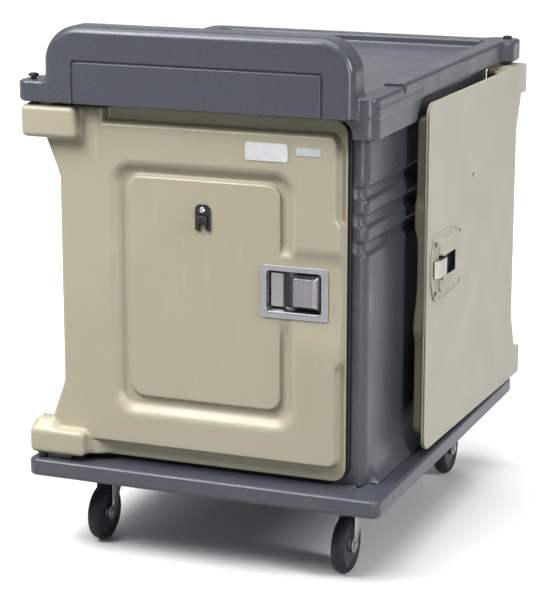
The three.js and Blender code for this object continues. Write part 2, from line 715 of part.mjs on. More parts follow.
function buildEnd(end, turn, doorAngle, hasLabels) {
  const fixed = new THREE.Group();
  fixed.rotation.z = turn;
  cart.add(fixed);
  addMesh(fixed, `${end}_liner`, liner(), creamSkin);
  addMesh(fixed, `${end}_gasket`, doorGasket(), rubber);
  addMesh(fixed, `${end}_strike_plate`, strikePlate(), stainless);
  addMesh(fixed, `${end}_upper_hinge_pin`, upperPin(), blackPlastic);
  addMesh(fixed, `${end}_lower_hinge_pin`, lowerPin(), blackPlastic);

  const leaf = hingedGroup(fixed, doorAngle);
  const part = (name, shape, surface) => addMesh(leaf, `${end}_${name}`, shape, surface);
  part('door_shell', doorShell(), cream);
  part('door_skin', doorSkin(), creamSkin);
  part('door_foam', doorFoam(), foam);
  part('upper_hinge_bush', doorBush(door.top + gap, bush.upperLow, door.top + gap), blackPlastic);
  part('lower_hinge_bush', doorBush(door.bottom - gap - bush.flangeHeight, door.bottom - gap,
    bush.lowerHigh), blackPlastic);
  part('latch_pan', latchPan(), stainless);
  part('latch_paddle', latchPaddle(), stainless);
  part('latch_back_plate', latchBackPlate(), creamSkin);
  part('latch_bolt', latchBolt(), stainless);
  part('clip_base', clipBase(), blackPlastic);
  part('clip_lever', clipLeverPart(), blackPlastic);
  part('clip_screw', clipScrewPart(), stainless);
  if (hasLabels) {
    part('label_plate', plateOnFrame(label, 5), labelWhite);
    part('data_plate', plateOnFrame(dataPlate, 3), zinc);
  }
}

buildEnd('front', 0, 0, true);
buildEnd('rear', Math.PI, openAngle, false);

function buildCaster(side, x) {
  const front = new THREE.Group();
  front.position.set(x, caster.pivotY - caster.trail, wheel.radius);
  const rear = new THREE.Group();
  rear.position.set(x, caster.rearY, wheel.radius);
  cart.add(front, rear);

  const plate = addMesh(cart, `front_${side}_caster_plate`, swivelPlate(), zinc);
  plate.position.set(x, caster.pivotY, 0);
  addMesh(front, `front_${side}_caster_fork`, swivelFork(), zinc);
  addMesh(rear, `rear_${side}_caster_fork`, fixedFork(), zinc);
  for (const [end, group] of [['front', front], ['rear', rear]]) {
    addMesh(group, `${end}_${side}_axle_bolt`, axleBolt(), zinc);
    addMesh(group, `${end}_${side}_wheel_hub`, wheelHub(), hubGrey);
    addMesh(group, `${end}_${side}_tyre`, tyre(), rubber);
  }
}

buildCaster('left', -caster.x);
buildCaster('right', caster.x);

export default cart;
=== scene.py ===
"""Insulated meal cart on casters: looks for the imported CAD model.

Lengths are in millimetres until a mesh is made. Each door piece is drawn shut at the front of the
cart; the rear door is the same mesh, placed where the CAD leaves it, folded back along the side.
"""

import math

import bpy
import numpy as np
from mathutils import Matrix, Vector


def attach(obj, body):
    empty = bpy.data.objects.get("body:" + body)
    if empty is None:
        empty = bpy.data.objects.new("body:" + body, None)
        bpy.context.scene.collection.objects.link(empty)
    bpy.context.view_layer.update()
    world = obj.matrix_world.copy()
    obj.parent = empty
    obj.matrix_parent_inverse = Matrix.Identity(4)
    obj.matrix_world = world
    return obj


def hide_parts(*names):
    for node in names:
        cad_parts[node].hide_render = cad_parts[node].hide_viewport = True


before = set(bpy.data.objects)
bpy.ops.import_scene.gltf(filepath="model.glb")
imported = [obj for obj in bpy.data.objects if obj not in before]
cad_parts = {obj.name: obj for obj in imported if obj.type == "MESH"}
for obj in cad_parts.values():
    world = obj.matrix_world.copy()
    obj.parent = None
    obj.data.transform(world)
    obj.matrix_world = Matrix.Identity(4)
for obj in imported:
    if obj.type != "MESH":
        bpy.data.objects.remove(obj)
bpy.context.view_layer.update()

MM = 0.001
END_TURN = Matrix.Rotation(math.pi, 4, "Z")

# Plans seen from above, as left, front, right and back.
SLAB = (-411, -522, 411, 522)
BODY = (-352, -443, 352, 443)
SLAB_FOOT, SLAB_TOP, BODY_FOOT, BODY_TOP = 178, 218, 218.3, 1014.7
MOUTH_DEPTH = 43.7
BOLT_POCKET, BOLT_POCKET_DEPTH = (262, 614, 284, 662), 434
LEDGE_TOPS = [275 + 70 * k for k in range(10)]

# Casters: how far out they stand, the bolting plates, the front axle and the height of the axles.
CASTER_X, FRONT_PLATE_Y, REAR_PLATE_Y, FRONT_AXLE_Y, AXLE_Z = 291, -352, 354, -382, 63.5

# Fixings on a door, in x and z.
PLATE_NUTS = {"a": (112, 583), "b": (112, 693), "c": (272, 583), "d": (272, 693)}
CLIP_SCREW = (0, 801.5)

# The hinge pins' line on a shut front door, and the rear door folded back about its own.
PIN_X, PIN_Y = -382, -497
FOLD = Matrix.Rotation(math.radians(-271.5), 4, "Z")
HINGE = Matrix.Translation((PIN_X * MM, PIN_Y * MM, 0))
REAR_DOOR = END_TURN @ HINGE @ FOLD @ HINGE.inverted()


# ---- shapes as signed distances

def both(a, b, radius=0.0):
    """What a and b share, with the edge between them rounded."""
    if radius == 0:
        return np.maximum(a, b)
    corner = np.hypot(np.maximum(a + radius, 0), np.maximum(b + radius, 0))
    return corner + np.minimum(np.maximum(a, b) + radius, 0) - radius


def join(a, b, radius=0.0):
    """a and b together, with a fillet where they meet."""
    return -both(-a, -b, radius)


def cut(a, b, radius=0.0):
    """a without b, with the rim of the cut rounded."""
    return both(a, -b, radius)


def between(t, low, high):
    return np.abs(t - (low + high) / 2) - (high - low) / 2


def rect(u, v, left, low, right, high, radius=0.0):
    return both(between(u, left, right), between(v, low, high), radius)


def beyond(u, v, start, end):
    """Distance past the line from start to end, positive on its right-hand side."""
    (u0, v0), (u1, v1) = start, end
    length = math.hypot(u1 - u0, v1 - v0)
    return ((u - u0) * (v1 - v0) - (v - v0) * (u1 - u0)) / length


def convex(u, v, points, radius=0.0):
    """A convex outline given anticlockwise."""
    sides = [beyond(u, v, a, b) for a, b in zip(points, points[1:] + points[:1])]
    shape = sides[0]
    for side in sides[1:]:
        shape = both(shape, side, radius)
    return shape


# ---- small helpers

def in_scene(name, data):
    """A new object for a mesh, lamp or camera, linked to the scene."""
    piece = bpy.data.objects.new(name, data)
    bpy.context.scene.collection.objects.link(piece)
    return piece


def preset(node, values):
    for socket, value in values.items():
        node.inputs[socket].default_value = value


# ---- from distances to a mesh

def stations(low, high, step, *finer):
    """Grid stations a step apart, and closer inside each (from, to, step) of finer."""
    marks = [low]
    while marks[-1] < high:
        at = marks[-1]
        following = at + min([s for a, b, s in finer if a <= at < b] + [step])
        starts = [a for a, b, s in finer if at < a < following]
        marks.append(min(starts + [following]))
    return np.array(marks, float)


def slope_of(field, points):
    """The outward direction of a field, and its steepness, at each point."""
    reach = 0.25
    slope = np.empty_like(points)
    for axis in range(3):
        step = np.zeros(3)
        step[axis] = reach
        slope[:, axis] = (field(*(points + step).T) - field(*(points - step).T)) / (2 * reach)
    return slope


def surface(name, field, xs, ys, zs):
    """A mesh of the surface where field(x, y, z) is zero, solid where it is negative.

    One vertex goes in each grid cell that the surface passes through, is moved onto the surface,
    and takes its normal from the field.
    """
    grid = (xs, ys, zs)
    value = np.broadcast_to(field(xs[:, None, None], ys[None, :, None], zs[None, None, :]),
                            tuple(map(len, grid)))
    solid = value < 0
    cells = [len(marks) - 1 for marks in grid]
    size = cells[0] * cells[1] * cells[2]
    total = np.zeros((3, size))
    count = np.zeros(size)
    quads = []
    for axis in range(3):
        low_end = [slice(None)] * 3
        high_end = [slice(None)] * 3
        low_end[axis], high_end[axis] = slice(None, -1), slice(1, None)
        crossed = np.array(np.nonzero(solid[tuple(low_end)] != solid[tuple(high_end)]))
        first, second = (axis + 1) % 3, (axis + 2) % 3
        before = value[tuple(low_end)][tuple(crossed)]
        after = value[tuple(high_end)][tuple(crossed)]
        share = before / (before - after)
        point = [marks[i] for marks, i in zip(grid, crossed)]
        point[axis] = point[axis] + share * (grid[axis][crossed[axis] + 1] - point[axis])
        corners = []
        for back_first, back_second in ((1, 1), (0, 1), (0, 0), (1, 0)):
            cell = crossed.copy()
            cell[first] -= back_first
            cell[second] -= back_second
            corners.append((cell[0] * cells[1] + cell[1]) * cells[2] + cell[2])
            for k in range(3):
                total[k] += np.bincount(corners[-1], weights=point[k], minlength=size)
            count += np.bincount(corners[-1], minlength=size)
        quad = np.stack(corners, 1)
        outward = before < 0
        quads.append(np.where(outward[:, None], quad, quad[:, ::-1]))
    used = np.flatnonzero(count)
    number = np.zeros(size, int)
    number[used] = np.arange(len(used))
    points = (total[:, used] / count[used]).T
    for _ in range(4):
        slope = slope_of(field, points)
        steep = np.maximum((slope ** 2).sum(1), 0.2)
        move = np.clip(field(*points.T) / steep, -1.5, 1.5)
        points -= move[:, None] * slope
    normals = slope_of(field, points)
    normals /= np.maximum(np.linalg.norm(normals, axis=1, keepdims=True), 1e-6)
    return mesh_of(name, points, number[np.concatenate(quads)], normals)


def mesh_of(name, points, faces, normals=None, sharp=None):
    mesh = bpy.data.meshes.new(name)
    mesh.from_pydata((np.asarray(points) * MM).tolist(), [], [list(map(int, f)) for f in faces])
    mesh.shade_smooth()
    if normals is not None:
        mesh.normals_split_custom_set_from_vertices(normals.tolist())
    if sharp is not None:
        mesh.set_sharp_from_angle(angle=math.radians(sharp))
    return mesh


# ---- from outlines to a mesh

def rounded_outline(corners, steps):
    """Points round a polygon, each (u, v, radius) corner rounded."""
    points = []
    count = len(corners)
    for i, (u, v, radius) in enumerate(corners):
        here = Vector((u, v))
        back = (Vector(corners[i - 1][:2]) - here).normalized()
        ahead = (Vector(corners[(i + 1) % count][:2]) - here).normalized()
        half = back.angle(ahead) / 2
        if radius == 0 or half > 1.55:
            points.append(here)
            continue
        centre = here + (back + ahead).normalized() * (radius / math.sin(half))
        start = here + back * (radius / math.tan(half)) - centre
        end = here + ahead * (radius / math.tan(half)) - centre
        sweep = start.angle_signed(end)
        for k in range(steps + 1):
            turn = Matrix.Rotation(-sweep * k / steps, 2)
            points.append(centre + turn @ start)
    return np.array([tuple(p) for p in points])


def box_outline(left, low, right, high, radius, steps):
    return rounded_outline([(left, low, radius), (right, low, radius), (right, high, radius),
                            (left, high, radius)], steps)


def lofted(name, loops, sharp=35):
    """A closed skin through loops of points of equal length, capped at both ends."""
    count = len(loops[0])
    points = np.concatenate(loops)
    faces = [list(range(count))[::-1]]
    for ring in range(len(loops) - 1):
        a, b = ring * count, (ring + 1) * count
        faces += [(a + i, a + (i + 1) % count, b + (i + 1) % count, b + i) for i in range(count)]
    faces.append(range(len(points) - count, len(points)))
    return mesh_of(name, points, faces, sharp=sharp)


def shrunk(outline, amount):
    """An anticlockwise outline moved inward along its own normals."""
    ahead = np.roll(outline, -1, 0) - outline
    behind = outline - np.roll(outline, 1, 0)
    ahead /= np.linalg.norm(ahead, axis=1, keepdims=True)
    behind /= np.linalg.norm(behind, axis=1, keepdims=True)
    tangent = ahead + behind
    tangent /= np.linalg.norm(tangent, axis=1, keepdims=True)
    stretch = 1 / np.maximum((tangent * ahead).sum(1), 0.4)
    inward = np.stack([-tangent[:, 1], tangent[:, 0]], 1)
    return outline + inward * (amount * stretch)[:, None]


def facing_front(loops):
    """Points of each (outline in x and z, distance out from the cart's middle)."""
    return [np.stack([outline[:, 0], np.full(len(outline), -out), outline[:, 1]], 1)
            for outline, out in loops]


def plate(name, outline, back, front, edge):
    """A plate that faces the front of the cart, from back to front, with both edges rounded."""
    loops = [(shrunk(outline, edge), back), (shrunk(outline, edge * 0.3), back + edge * 0.3),
             (outline, back + edge), (outline, front - edge),
             (shrunk(outline, edge * 0.3), front - edge * 0.3), (shrunk(outline, edge), front)]
    return lofted(name, facing_front(loops))


def turned(name, profile, segments=48):
    """An upright turned part from its (radius, height) profile, which starts and ends on the axis."""
    points, rings = [], []
    for radius, height in profile:
        if radius == 0:
            rings.append([len(points)])
            points.append((0, 0, height))
            continue
        rings.append(range(len(points), len(points) + segments))
        for k in range(segments):
            angle = 2 * math.pi * k / segments
            points.append((radius * math.cos(angle), radius * math.sin(angle), height))
    faces = []
    for low, high in zip(rings, rings[1:]):
        for k in range(segments):
            a, b = low[k % len(low)], low[(k + 1) % len(low)]
            c, d = high[(k + 1) % len(high)], high[k % len(high)]
            faces.append(list(dict.fromkeys((a, b, c, d))))
    return mesh_of(name, points, faces, sharp=35)


def ring_turned(name, profile, segments=96, axis="x"):
    """A turned ring from its closed (radius, height) profile."""
    count = len(profile)
    points, faces = [], []
    for k in range(segments):
        angle = 2 * math.pi * k / segments
        points += [(r * math.cos(angle), r * math.sin(angle), h) for r, h in profile]
    for k in range(segments):
        here, there = k * count, (k + 1) % segments * count
        for i in range(count):
            after = (i + 1) % count
            faces.append((here + i, here + after, there + after, there + i))
    points = np.array(points, float)
    if axis == "x":
        points = points[:, [2, 0, 1]]
    return mesh_of(name, points, faces, sharp=35)


# ---- materials

class Nodes:
    """A material's node tree, with short ways to add to it."""

    def __init__(self, name):
        self.material = bpy.data.materials.new(name)
        self.material.use_nodes = True
        self.tree = self.material.node_tree
        self.shader = self.tree.nodes["Principled BSDF"]
        self.place = self.add("ShaderNodeTexCoord").outputs["Object"]

    def add(self, kind, **settings):
        node = self.tree.nodes.new(kind)
        for key, value in settings.items():
            setattr(node, key, value)
        return node

    def link(self, source, target):
        self.tree.links.new(source, target)

    def noise(self, scale, detail, stretch=None):
        place = self.place
        if stretch:
            mapping = self.add("ShaderNodeMapping")
            preset(mapping, {"Scale": stretch})
            self.link(place, mapping.inputs["Vector"])
            place = mapping.outputs["Vector"]
        node = self.add("ShaderNodeTexNoise")
        preset(node, {"Scale": scale, "Detail": detail, "Roughness": 0.55})
        self.link(place, node.inputs["Vector"])
        return node.outputs["Fac"]

    def spread(self, source, low, high, out_low=0.0, out_high=1.0):
        node = self.add("ShaderNodeMapRange")
        preset(node, {"From Min": low, "From Max": high, "To Min": out_low, "To Max": out_high})
        self.link(source, node.inputs["Value"])
        return node.outputs["Result"]

    def mix(self, factor, first, second):
        node = self.add("ShaderNodeMix", data_type="RGBA")
        self.link(factor, node.inputs["Factor"])
        for socket, value in ((node.inputs[6], first), (node.inputs[7], second)):
            if isinstance(value, tuple):
                socket.default_value = (*value, 1)
            else:
                self.link(value, socket)
        return node.outputs[2]

    def times(self, first, second):
        node = self.add("ShaderNodeMath", operation="MULTIPLY")
        for socket, value in zip(node.inputs, (first, second)):
            if isinstance(value, float):
                socket.default_value = value
            else:
                self.link(value, socket)
        return node.outputs[0]

    def worn_edges(self, low=0.52, high=0.6):
        """Where the surface bends sharply outward."""
        return self.spread(self.add("ShaderNodeNewGeometry").outputs["Pointiness"], low, high)

    def bump(self, source, distance, strength, after=None):
        node = self.add("ShaderNodeBump")
        preset(node, {"Distance": distance, "Strength": strength})
        self.link(source, node.inputs["Height"])
        if after is not None:
            self.link(after, node.inputs["Normal"])
        return node.outputs["Normal"]

    def finish(self, colour, roughness, normal, metallic=0.0, specular=0.5):
        self.link(colour, self.shader.inputs["Base Color"])
        self.link(roughness, self.shader.inputs["Roughness"])
        self.link(normal, self.shader.inputs["Normal"])
        preset(self.shader, {"Metallic": metallic, "Specular IOR Level": specular})
        return self.material


def scaled(colour, factor):
    return tuple(c * factor for c in colour)


def moulded_plastic(name, colour, grain, rough, speckle, worn=1.25):
    """Rotationally moulded plastic: a fine pebble, faint clouds, scuffs and paler edges."""
    n = Nodes(name)
    clouds = n.spread(n.noise(3.5, 4), 0.35, 0.65)
    base = n.mix(clouds, scaled(colour, 0.95), scaled(colour, 1.05))
    grains = n.spread(n.noise(grain, 4), 0.3, 0.7)
    base = n.mix(grains, scaled(colour, 1 - speckle), base)
    base = n.mix(n.times(n.worn_edges(), 0.5), base, scaled(colour, worn))
    scuffs = n.spread(n.noise(60, 5, (1, 1, 0.15)), 0.62, 0.75)
    base = n.mix(n.times(scuffs, 0.12), base, scaled(colour, 1.5))
    roughness = n.spread(n.noise(9, 5), 0.3, 0.7, rough - 0.06, rough + 0.08)
    normal = n.bump(n.noise(grain * 0.8, 3), 0.0003, 0.35)
    normal = n.bump(n.noise(14, 2), 0.004, 0.1, normal)
    return n.finish(base, roughness, normal)


def brushed_metal(name, colour, rough, stretch, mark=0.25):
    """Rolled or brushed metal: long fine lines, smudges and bright edges."""
    n = Nodes(name)
    lines = n.noise(260, 4, stretch)
    smudge = n.spread(n.noise(28, 4), 0.35, 0.7)
    base = n.mix(n.spread(lines, 0.35, 0.65), scaled(colour, 0.86), scaled(colour, 1.08))
    base = n.mix(n.times(smudge, mark), base, scaled(colour, 0.6))
    base = n.mix(n.times(n.worn_edges(0.51, 0.57), 0.6), base, scaled(colour, 1.4))
    roughness = n.spread(lines, 0.3, 0.7, rough - 0.06, rough + 0.1)
    normal = n.bump(lines, 0.0002, 0.25)
    return n.finish(base, roughness, normal, metallic=1.0)


def soft_rubber(name, colour, rough, dust):
    """Rubber with fine grain and pale dust in patches."""
    n = Nodes(name)
    patches = n.spread(n.noise(24, 5), 0.45, 0.7)
    base = n.mix(n.spread(n.noise(700, 2), 0.4, 0.6), scaled(colour, 0.8), scaled(colour, 1.2))
    base = n.mix(n.times(patches, dust), base, scaled(colour, 3.2))
    roughness = n.spread(n.noise(40, 3), 0.3, 0.7, rough - 0.07, rough + 0.07)
    return n.finish(base, roughness, n.bump(n.noise(600, 3), 0.0003, 0.4), specular=0.35)


def glossy_plastic(name, colour, rough):
    n = Nodes(name)
    base = n.mix(n.spread(n.noise(40, 3), 0.35, 0.65), scaled(colour, 0.9), scaled(colour, 1.12))
    base = n.mix(n.times(n.worn_edges(), 0.35), base, scaled(colour, 1.8))
    roughness = n.spread(n.noise(70, 4), 0.3, 0.7, rough - 0.05, rough + 0.08)
    return n.finish(base, roughness, n.bump(n.noise(900, 2), 0.0001, 0.25))


SLATE = moulded_plastic("slate plastic", (0.094, 0.102, 0.124), 330, 0.31, speckle=0.3)
CREAM = moulded_plastic("cream plastic", (0.46, 0.423, 0.323), 320, 0.36, speckle=0.05, worn=1.2)
CREAM_SKIN = moulded_plastic("cream skin", (0.495, 0.472, 0.405), 300, 0.45, speckle=0.04, worn=1.12)
FOAM = moulded_plastic("foam", (0.74, 0.66, 0.4), 900, 0.85, speckle=0.12)
STAINLESS = brushed_metal("brushed stainless", (0.255, 0.255, 0.272), 0.32, (0.05, 1, 1))
POLISHED = brushed_metal("polished stainless", (0.22, 0.215, 0.22), 0.2, (1, 1, 0.06), mark=0.4)
BRIGHT = brushed_metal("satin steel", (0.47, 0.455, 0.42), 0.42, (0.1, 1, 1), mark=0.15)
ZINC = brushed_metal("zinc plate", (0.4, 0.41, 0.41), 0.4, (1, 1, 0.2))
SCREW = brushed_metal("screw steel", (0.42, 0.41, 0.4), 0.25, (1, 1, 1))
# Black for the plastic pins, bushes and clip, and also for the sheets of painted shade in the latch.
BLACK = glossy_plastic("black plastic and painted shade", (0.013, 0.014, 0.016), 0.33)
SEAL = soft_rubber("seal rubber", (0.018, 0.018, 0.02), 0.6, 0.06)
TYRE = soft_rubber("tyre rubber", (0.035, 0.036, 0.04), 0.62, 0.16)
HUB = glossy_plastic("hub plastic", (0.062, 0.064, 0.072), 0.36)
WHITE = glossy_plastic("white plate", (0.62, 0.63, 0.64), 0.3)


# ---- placing pieces

def show(name, mesh, material, body, nodes=(), where=None):
    """A piece on its body, standing for its CAD nodes."""
    piece = in_scene(name, mesh)
    if not mesh.has_custom_normals:
        weighted = piece.modifiers.new("even shading", "WEIGHTED_NORMAL")
        weighted.keep_sharp = True
    if not mesh.materials:
        mesh.materials.append(material)
    if where is not None:
        piece.matrix_world = where
    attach(piece, body)
    if nodes:
        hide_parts(*nodes)
    return piece


def at(x, y, z):
    return Matrix.Translation((x * MM, y * MM, z * MM))


def on_ends(name, mesh, material, where=Matrix.Identity(4)):
    """A fixed piece at the front of the cart, and the same at the rear."""
    for end, turn in (("front", Matrix.Identity(4)), ("rear", END_TURN)):
        show(f"{end}_{name}_look", mesh, material, "cart", [f"{end}_{name}"], turn @ where)


def on_doors(name, mesh, material, body="door", where=Matrix.Identity(4), stands=True,
             doors=("front", "rear")):
    """A door piece, drawn shut at the front, on each door."""
    for end in doors:
        door = Matrix.Identity(4) if end == "front" else REAR_DOOR
        nodes = [f"{end}_{name}"] if stands else []
        show(f"{end}_{name}_look", mesh, material, f"{end}_{body}", nodes, door @ where)


def recoat(node, material):
    """A CAD node that keeps its shape and takes a better material."""
    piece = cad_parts[node]
    piece.data.materials.clear()
    piece.data.materials.append(material)


# ---- base slab

def base_slab_shape(x, y, z):
    """A slab with a cove round the foot of the body and a pad over each caster."""
    slab = both(rect(x, y, *SLAB, 22), between(z, SLAB_FOOT, SLAB_TOP), 9)
    wall = rect(x, y, *BODY, 24)
    cove = 10 - np.hypot(np.minimum(wall - 10.5, 0), np.minimum(z - 228, 0))
    cove = both(both(cove, z - 228), both(0.4 - wall, wall - 12))
    slab = np.minimum(slab, both(cove, 210 - z))
    for across in (-CASTER_X, CASTER_X):
        for along in (FRONT_PLATE_Y, REAR_PLATE_Y):
            pad = both(rect(x, y, across - 60, along - 66, across + 60, along + 66, 12),
                       between(z, 165, 190), 4)
            slab = join(slab, pad, 6)
    return slab


def base_slab():
    edges = [(-415, -385, 3), (385, 415, 3)]
    pads = [(mid + side * 60 - 16, mid + side * 60 + 16, 4)
            for mid in (-CASTER_X, CASTER_X) for side in (-1, 1)]
    along = [(-526, -495, 3), (495, 526, 3)]
    along += [(mid + end * 66 - 16, mid + end * 66 + 16, 4)
              for mid in (FRONT_PLATE_Y, REAR_PLATE_Y) for end in (-1, 1)]
    mesh = surface("base_slab", base_slab_shape, stations(-415, 415, 24, *edges, *pads),
                   stations(-526, 526, 24, *along), stations(161, 222, 2.5))
    show("base_slab_look", mesh, SLATE, "cart", ["base_slab"])


# ---- body

GROOVES = (736, 794, 852)


def groove_depth(x, z):
    """Three soft grooves round the sides and the corners."""
    depth = 0
    for middle in GROOVES:
        depth = depth + 6.5 / (1 + np.exp((np.abs(z - middle) - 13) / 1.8))
    return depth / (1 + np.exp((326 - np.abs(x)) / 2.2))


def foot_spread(x, y, z):
    """The sides spread towards the base, but not beside the folded door's lower knuckle."""
    rise = np.clip((292 - z) / 73.7, 0, 1)
    forward = np.where(x > 0, y, -y)
    along = 1 / (1 + np.exp((np.maximum(-417 - forward, forward - 352) + 6) / 2.5))
    return 23.5 * rise ** 2.6 * along / (1 + np.exp((330 - np.abs(x)) / 4))


def body_shape(x, y, z):
    plan = rect(x, y, *BODY, 24) + groove_depth(x, z) - foot_spread(x, y, z)
    shell = both(plan, between(z, BODY_FOOT, BODY_TOP), 2)
    mouth = both(rect(x, z, -270.3, 258.7, 270.3, 981.3, 14), MOUTH_DEPTH - np.abs(y))
    shell = cut(shell, mouth, 1)
    facing = np.where(y < 0, x, -x)
    pocket = both(rect(facing, z, *BOLT_POCKET, 3), BOLT_POCKET_DEPTH - np.abs(y))
    return cut(shell, pocket)


def body_shell():
    side = [(318, 380, 3), (-380, -318, 3), (-274, -256, 3), (256, 290, 2.5)]
    ends = [(-447, -405, 3), (405, 447, 3), (-48, -40, 4), (40, 48, 4), (340, 366, 4),
            (-366, -340, 4)]
    heights = [(215, 300, 4), (716, 872, 3), (610, 617, 2), (658, 666, 2), (976, 984, 3),
               (1006, 1017, 2.5)]
    mesh = surface("body_shell", body_shape, stations(-380, 380, 22, *side),
                   stations(-447, 447, 26, *ends), stations(215, 1017, 22, *heights))
    show("body_shell_look", mesh, SLATE, "cart", ["body_shell"])

    def core_shape(x, y, z):
        block = both(rect(x, y, -341, -432, 341, 432, 22), between(z, 229, 1004), 4)
        room = both(rect(x, z, -271, 258, 271, 982, 14), 43 - np.abs(y))
        return cut(block, room)

    core = surface("insulation_core", core_shape, stations(-346, 346, 20),
                   stations(-436, 436, 24), stations(225, 1008, 24))
    show("insulation_core_look", core, FOAM, "cart", ["insulation_core"])


# ---- top cover

def corner_skirt(x, y, z):
    """The deep corner beside the free edge of a shut door."""
    block = both(rect(x, y, 278, -500, 389, -150, 30), between(z, 972, 1040), 6)
    inside = both(rect(x, y, 0, -443.8, 352.8, 0, 24), z - 1015)
    block = cut(block, inside, 2)
    sweep = both(rect(x, z, 0, 800, 338, 1015, 36), y + 442)
    block = cut(block, sweep, 5)
    return both(block, beyond(y, z, (-226, 972), (-190, 1022)), 8)


def handle(x, y, z):
    """The raised bar across the front of the top, with a line pressed into its face."""
    bar = both(rect(x, z, -348, 900, 348, 1180, 80), between(y, -522, -442), 19)
    bar = both(bar, 1015 - z, 6)
    line = np.abs(rect(x, z, -280, 800, 280, 1106, 6)) - 2.4
    return cut(bar, both(line, y + 518), 1.6)


def top_cover_shape(x, y, z):
    plan = rect(x, y, -389, -500, 389, 500, 30)
    for facing, along in ((x, y), (-x, -y)):
        plan = join(plan, rect(facing, along, -411, -522, -330, -436, 20), 14)
    top = 1067 - 6.5 / (1 + np.exp((y + 313) / 1.2))
    rim = both(plan, both(z - top, 1015 - z), 8)
    tray = both(rect(x, y, -341, -440, 341, 455, 22), 1045 - z, 7)
    cover = cut(rim, tray, 7)
    cover = join(cover, corner_skirt(x, y, z), 3)
    cover = join(cover, corner_skirt(-x, -y, z), 3)
    cover = join(cover, handle(x, y, z), 11)
    slot = both(both(between(y, -316, -311.5), 1055 - z), 326 - np.abs(x))
    cover = cut(cover, slot, 1)
    notch = both(rect(y, z, -322, 1046, -306, 1062, 5), 386 - np.abs(x))
    return cut(cover, notch, 1.5)


def top_cover():
    across = [(-415, -325, 3), (-325, -272, 4), (272, 325, 4), (325, 415, 2.5)]
    along = [(-526, -432, 2.5), (-325, -303, 1.2), (-236, -180, 4), (180, 236, 4), (430, 526, 3)]
    heights = [(968, 1072, 2.5), (1072, 1100, 5), (1100, 1112, 1.2), (1112, 1150, 5), (1150, 1184, 3)]
    mesh = surface("top_cover", top_cover_shape, stations(-415, 415, 18, *across),
                   stations(-526, 526, 20, *along), stations(968, 1184, 5, *heights))
    show("top_cover_look", mesh, SLATE, "cart", ["top_cover"])


# ---- compartments and seals

def liner_shape(x, y, z):
    """A box open at the front, with tray ledges down both sides."""
    shell = both(rect(x, z, -270, 259, 270, 981, 13), between(y, -443, -44))
    room = both(rect(x, z, -266, 263, 266, 977, 12), y + 48, 12)
    shell = cut(shell, room, 1)
    across = np.abs(x)
    for top in LEDGE_TOPS:
        rail = convex(across, z, [(240, top - 6), (268, top - 15), (268, top), (240, top)], 2)
        shell = join(shell, both(rail, between(y, -425, -60), 3), 3)
    pocket = both(rect(x, z, *BOLT_POCKET), y + BOLT_POCKET_DEPTH)
    return cut(shell, pocket)


def compartments():
    rails = [(top - 18, top + 4, 2.5) for top in LEDGE_TOPS]
    mesh = surface("liner", liner_shape,
                   stations(-273, 273, 40, (-273, -235, 2.5), (235, 273, 2.5)),
                   stations(-446, -40, 30, (-446, -418, 2.5), (-66, -40, 3)),
                   stations(256, 984, 12, *rails, (610, 617, 2), (658, 666, 2), (974, 984, 2.5)))
    on_ends("liner", mesh, CREAM_SKIN)


def gasket_shape(x, y, z):
    """A flat seal with two raised lips."""
    path = rect(x, z, -310, 249, 310, 990, 15)
    # The seal runs about 6 mm past the door's free edge. That outer black is a real seal, and it is also
    # painted shade for the dark gap beside the door.
    strip = both(np.abs(path) - 11, between(-y, 443.3, 449.5), 1.5)
    for offset in (-6.5, 6.5):
        lip = np.hypot(path - offset, -y - 448.6) - 3.6
        strip = join(strip, lip, 1.5)
    return strip


def gaskets():
    mesh = surface("gasket", gasket_shape,
                   stations(-324, 324, 30, (-324, -292, 1.4), (292, 324, 1.4)),
                   stations(-454, -442, 0.9),
                   stations(235, 1004, 30, (235, 266, 1.4), (973, 1004, 1.4)))
    on_ends("gasket", mesh, SEAL)


def strike_plates():
    """A bridge on the body for the bolt to catch behind."""
    def shape(x, y, z):
        out = -y
        bridge = both(rect(x, z, 268, 594.5, 285, 681.5, 8), between(out, 443.3, 450.6), 1.4)
        under = both(between(z, 606, 670), out - 449.4)
        return cut(bridge, under, 0.5)
    mesh = surface("strike_plate", shape, stations(266, 292, 1.2), stations(-452, -442, 0.6),
                   stations(592, 684, 3, (600, 610, 0.8), (666, 676, 0.8), (592, 598, 1),
                            (678, 684, 1)))
    on_ends("strike_plate", mesh, STAINLESS)


# ---- hinges

def hinges():
    upper = turned("upper_pin", [(0, 955), (5, 955), (6, 956.5), (6, 1067.3), (10.2, 1067.3),
                   (11, 1068.2), (11, 1070), (10, 1072), (7.4, 1073.2), (7.2, 1071.6), (0, 1071.2)])
    lower = turned("lower_pin", [(0, 191), (6, 191), (6, 218.3), (9.4, 218.3), (10, 219),
                   (10, 222), (8.6, 222.7), (8.6, 223.6), (10, 224.3), (10, 226.8), (9.3, 227.3),
                   (6, 227.3), (6, 278), (0, 278)])
    where = at(PIN_X, PIN_Y, 0)
    on_ends("upper_hinge_pin", upper, BLACK, where)
    on_ends("lower_hinge_pin", lower, BLACK, where)

    upper_bush = [(6.3, 1010.8), (12.4, 1010.8), (13, 1010.2), (13, 1008.9), (12.4, 1008.3),
                  (8, 1008.3), (8, 949), (6.3, 949)]
    lower_bush = [(6.3, 283), (8, 283), (8, 230.7), (12.4, 230.7), (13, 230.1), (13, 228.8),
                  (12.4, 228.2), (6.3, 228.2)]
    for level, profile in (("upper", upper_bush), ("lower", lower_bush)):
        bush = ring_turned(f"{level}_bush", profile, 48, "z")
        on_doors(f"{level}_hinge_bush", bush, BLACK, where=where)


# ---- door

FLANGE, FACE, PANEL, CHANNEL, SHELL_BACK = 462, 486, 478, 468, 456.3


